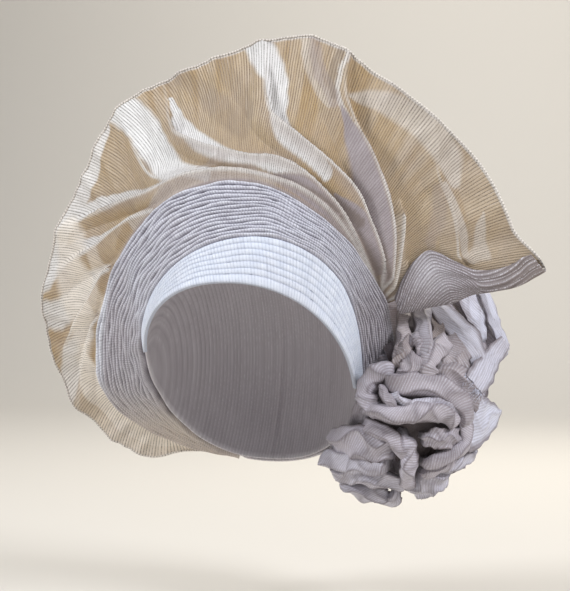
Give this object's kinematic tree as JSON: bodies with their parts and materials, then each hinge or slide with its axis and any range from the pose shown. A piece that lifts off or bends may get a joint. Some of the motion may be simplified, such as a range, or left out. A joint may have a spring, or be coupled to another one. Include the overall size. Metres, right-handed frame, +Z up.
{
  "type": "tied gele head tie",
  "caption": "Stiff striped cloth head tie: a tucked brow band and stacked pleats round an open head hollow, a wide rippled fan above and a gathered rosette at the side.",
  "frame": {"origin": "middle of the head opening, which leans back by 45 degrees", "axes": "+X to the wearer's left, -Y to the front, +Z up; the head comes in from below"},
  "size_m": [0.4285, 0.1821, 0.3634],
  "materials": {
    "band_cloth": "ribbed satin stripe",
    "pleat_cloth": "woven stripe, folded edges",
    "fan_cloth": "semi-sheer woven stripe",
    "rosette_cloth": "woven stripe, satin",
    "crown_cloth": "woven stripe",
    "nape_cloth": "woven stripe"
  },
  "bodies": {
    "root": {"back_ruffle_1": "rosette_cloth", "back_ruffle_2": "rosette_cloth", "back_ruffle_3": "rosette_cloth", "back_ruffle_4": "rosette_cloth", "back_ruffle_5": "rosette_cloth", "bottom_arc": "rosette_cloth", "bottom_lobe": "rosette_cloth", "brow_band": "band_cloth", "centre_fold": "rosette_cloth", "crown_cap": "crown_cloth", "crown_wrap": "crown_cloth", "ear_loop": "rosette_cloth", "fan": "fan_cloth", "fan_border": "pleat_cloth", "knot_fold": "rosette_cloth", "knot_loop": "rosette_cloth", "left_lobe": "rosette_cloth", "left_sheet": "rosette_cloth", "lower_tube": "rosette_cloth", "nape_band": "nape_cloth", "pleat_stack": "pleat_cloth", "pocket_fold": "rosette_cloth", "pointed_lobe": "rosette_cloth", "right_arc": "rosette_cloth", "rosette_core": "rosette_cloth", "side_loop": "rosette_cloth", "side_panel": "rosette_cloth", "slant_loop": "rosette_cloth", "torn_end": "rosette_cloth", "upper_panel": "rosette_cloth", "upper_tube": "rosette_cloth"}
  },
  "joints": []
}
